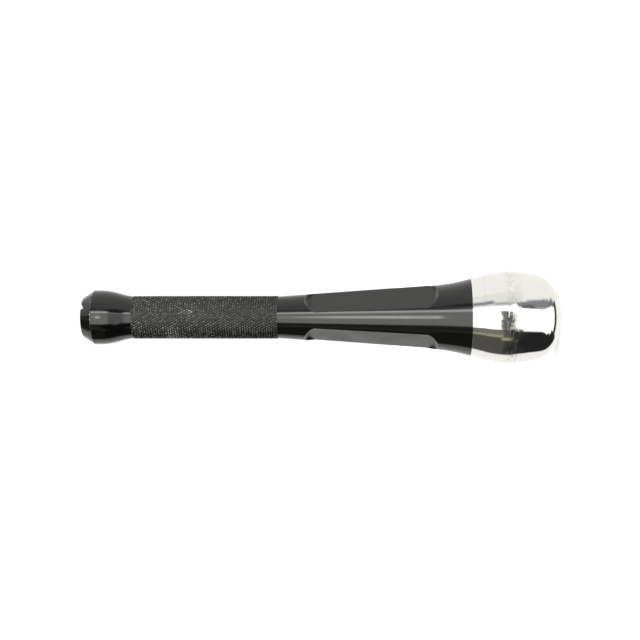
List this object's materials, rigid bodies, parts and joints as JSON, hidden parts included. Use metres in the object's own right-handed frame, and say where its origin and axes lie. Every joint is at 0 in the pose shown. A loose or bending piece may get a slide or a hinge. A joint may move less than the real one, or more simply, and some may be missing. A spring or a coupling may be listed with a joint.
{
  "type": "dead blow mallet",
  "caption": "Bat-shaped metal dead blow mallet: polished barrel head with loose shot inside, black turned handle with milled flats, knurled grip and slotted screw-in butt cap.",
  "frame": {"origin": "centre of the striking face, which is also the middle of the bottom when the mallet stands on its face", "axes": "+Z along the tool's axis from the striking face to the butt; +Y through the middle of one of the three flats; +X completes the right-handed set"},
  "size_m": [0.054, 0.054, 0.2794],
  "materials": {
    "black_anodised": "turned bar, black anodised, satin to gloss, worn bright on sharp edges",
    "polished_steel": "hard polished steel with fine turning lines and light scuffs at the widest band",
    "zinc_steel": "plain machined steel",
    "black_oxide_steel": "black oxide, lightly oiled",
    "shot_steel": "hardened steel balls, bright with dull rub marks",
    "urethane": "cast amber urethane, matt",
    "seal_rubber": "moulded nitrile, matt"
  },
  "bodies": {
    "mallet": {"handle": "black_anodised", "head_collar": "polished_steel", "head_shell": "polished_steel", "collar_bolt": "black_oxide_steel", "lock_washer": "zinc_steel", "thread_insert": "zinc_steel", "dowel_pins": "zinc_steel", "front_pad": "urethane", "rear_pad": "urethane", "chamber_o_ring": "seal_rubber"},
    "shot": {"steel_shot": "shot_steel"},
    "cap_seal": {"cap_o_ring": "seal_rubber"},
    "cap": {"butt_cap": "black_anodised"}
  },
  "joints": [
    {"name": "shot_slide", "type": "slide", "parent": "mallet", "child": "shot", "axis": [0, 0, 1], "range_m": [0, 0.0049]},
    {"name": "cap_lift", "type": "slide", "parent": "mallet", "child": "cap_seal", "axis": [0, 0, 1], "range_m": [0, 0.009]},
    {"name": "cap_turn", "type": "hinge", "parent": "cap_seal", "child": "cap", "pos_m": [0, 0, 0.2723], "axis": [0, 0, 1], "range_deg": [0, 2160]}
  ],
  "couplings": [
    {"joint": "cap_lift", "follows": "cap_turn", "m_per_rad": 0.00023873}
  ]
}
